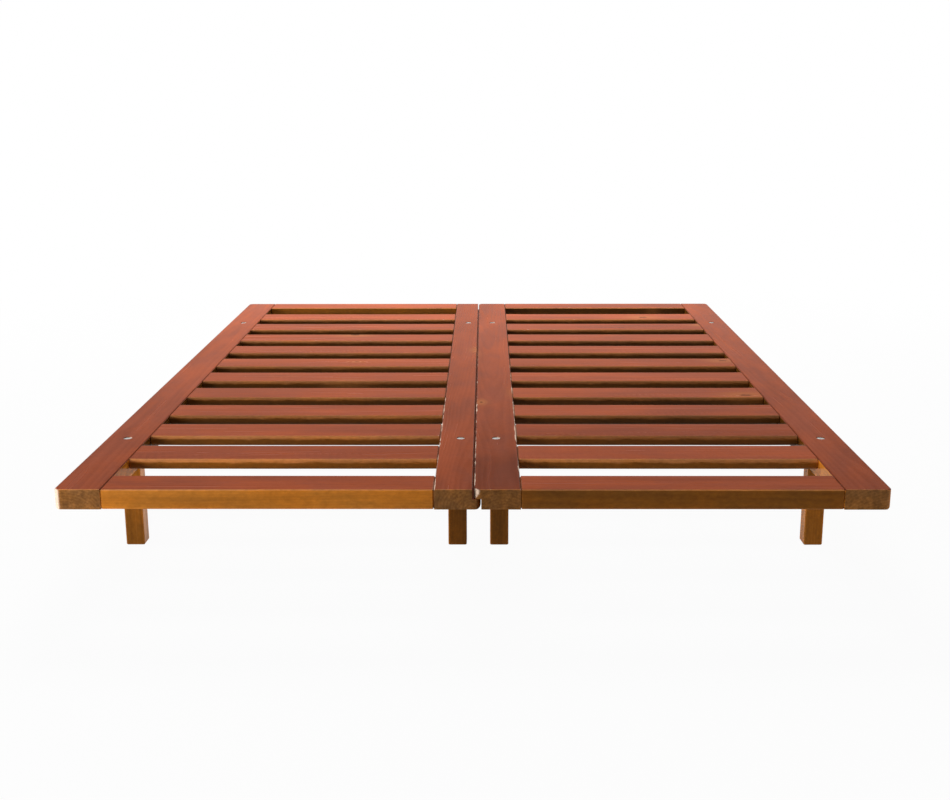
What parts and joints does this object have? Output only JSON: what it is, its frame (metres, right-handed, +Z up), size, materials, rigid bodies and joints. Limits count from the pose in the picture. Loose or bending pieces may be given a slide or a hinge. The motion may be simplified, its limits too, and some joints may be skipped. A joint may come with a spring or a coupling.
{
  "type": "bed frame",
  "caption": "Low wooden platform bed frame in two free-standing slatted halves that lap each other along the middle, on short square legs.",
  "frame": {"origin": "on the floor under the middle of the bed, at the centre of its bounding box", "axes": "+X across the bed to the right half, +Y along the stiles to the far end, +Z up"},
  "size_m": [1.506, 2, 0.225],
  "materials": {
    "frame_wood": "red-brown stained, satin",
    "slat_wood": "red-brown stained, satin",
    "leg_wood": "brown stained, satin",
    "bolt_steel": "bright plated",
    "insert_steel": "zinc plated"
  },
  "bodies": {
    "left_half": {"left_outer_stile": "frame_wood", "left_meeting_stile": "frame_wood", "left_front_rail": "frame_wood", "left_back_rail": "frame_wood", "left_slat_01": "slat_wood", "left_slat_02": "slat_wood", "left_slat_03": "slat_wood", "left_slat_04": "slat_wood", "left_slat_05": "slat_wood", "left_slat_06": "slat_wood", "left_slat_07": "slat_wood", "left_slat_08": "slat_wood", "left_slat_09": "slat_wood", "left_slat_10": "slat_wood", "left_front_outer_leg": "leg_wood", "left_back_outer_leg": "leg_wood", "left_front_inner_leg": "leg_wood", "left_back_inner_leg": "leg_wood", "left_leg_bolts": "bolt_steel", "left_leg_inserts": "insert_steel"},
    "right_half": {"right_outer_stile": "frame_wood", "right_meeting_stile": "frame_wood", "right_front_rail": "frame_wood", "right_back_rail": "frame_wood", "right_slat_01": "slat_wood", "right_slat_02": "slat_wood", "right_slat_03": "slat_wood", "right_slat_04": "slat_wood", "right_slat_05": "slat_wood", "right_slat_06": "slat_wood", "right_slat_07": "slat_wood", "right_slat_08": "slat_wood", "right_slat_09": "slat_wood", "right_slat_10": "slat_wood", "right_front_outer_leg": "leg_wood", "right_back_outer_leg": "leg_wood", "right_front_inner_leg": "leg_wood", "right_back_inner_leg": "leg_wood", "right_leg_bolts": "bolt_steel", "right_leg_inserts": "insert_steel"}
  },
  "joints": [
    {"name": "halves_slide", "type": "slide", "parent": "left_half", "child": "right_half", "axis": [1, 0, 0], "range_m": [0, 0.3]}
  ]
}
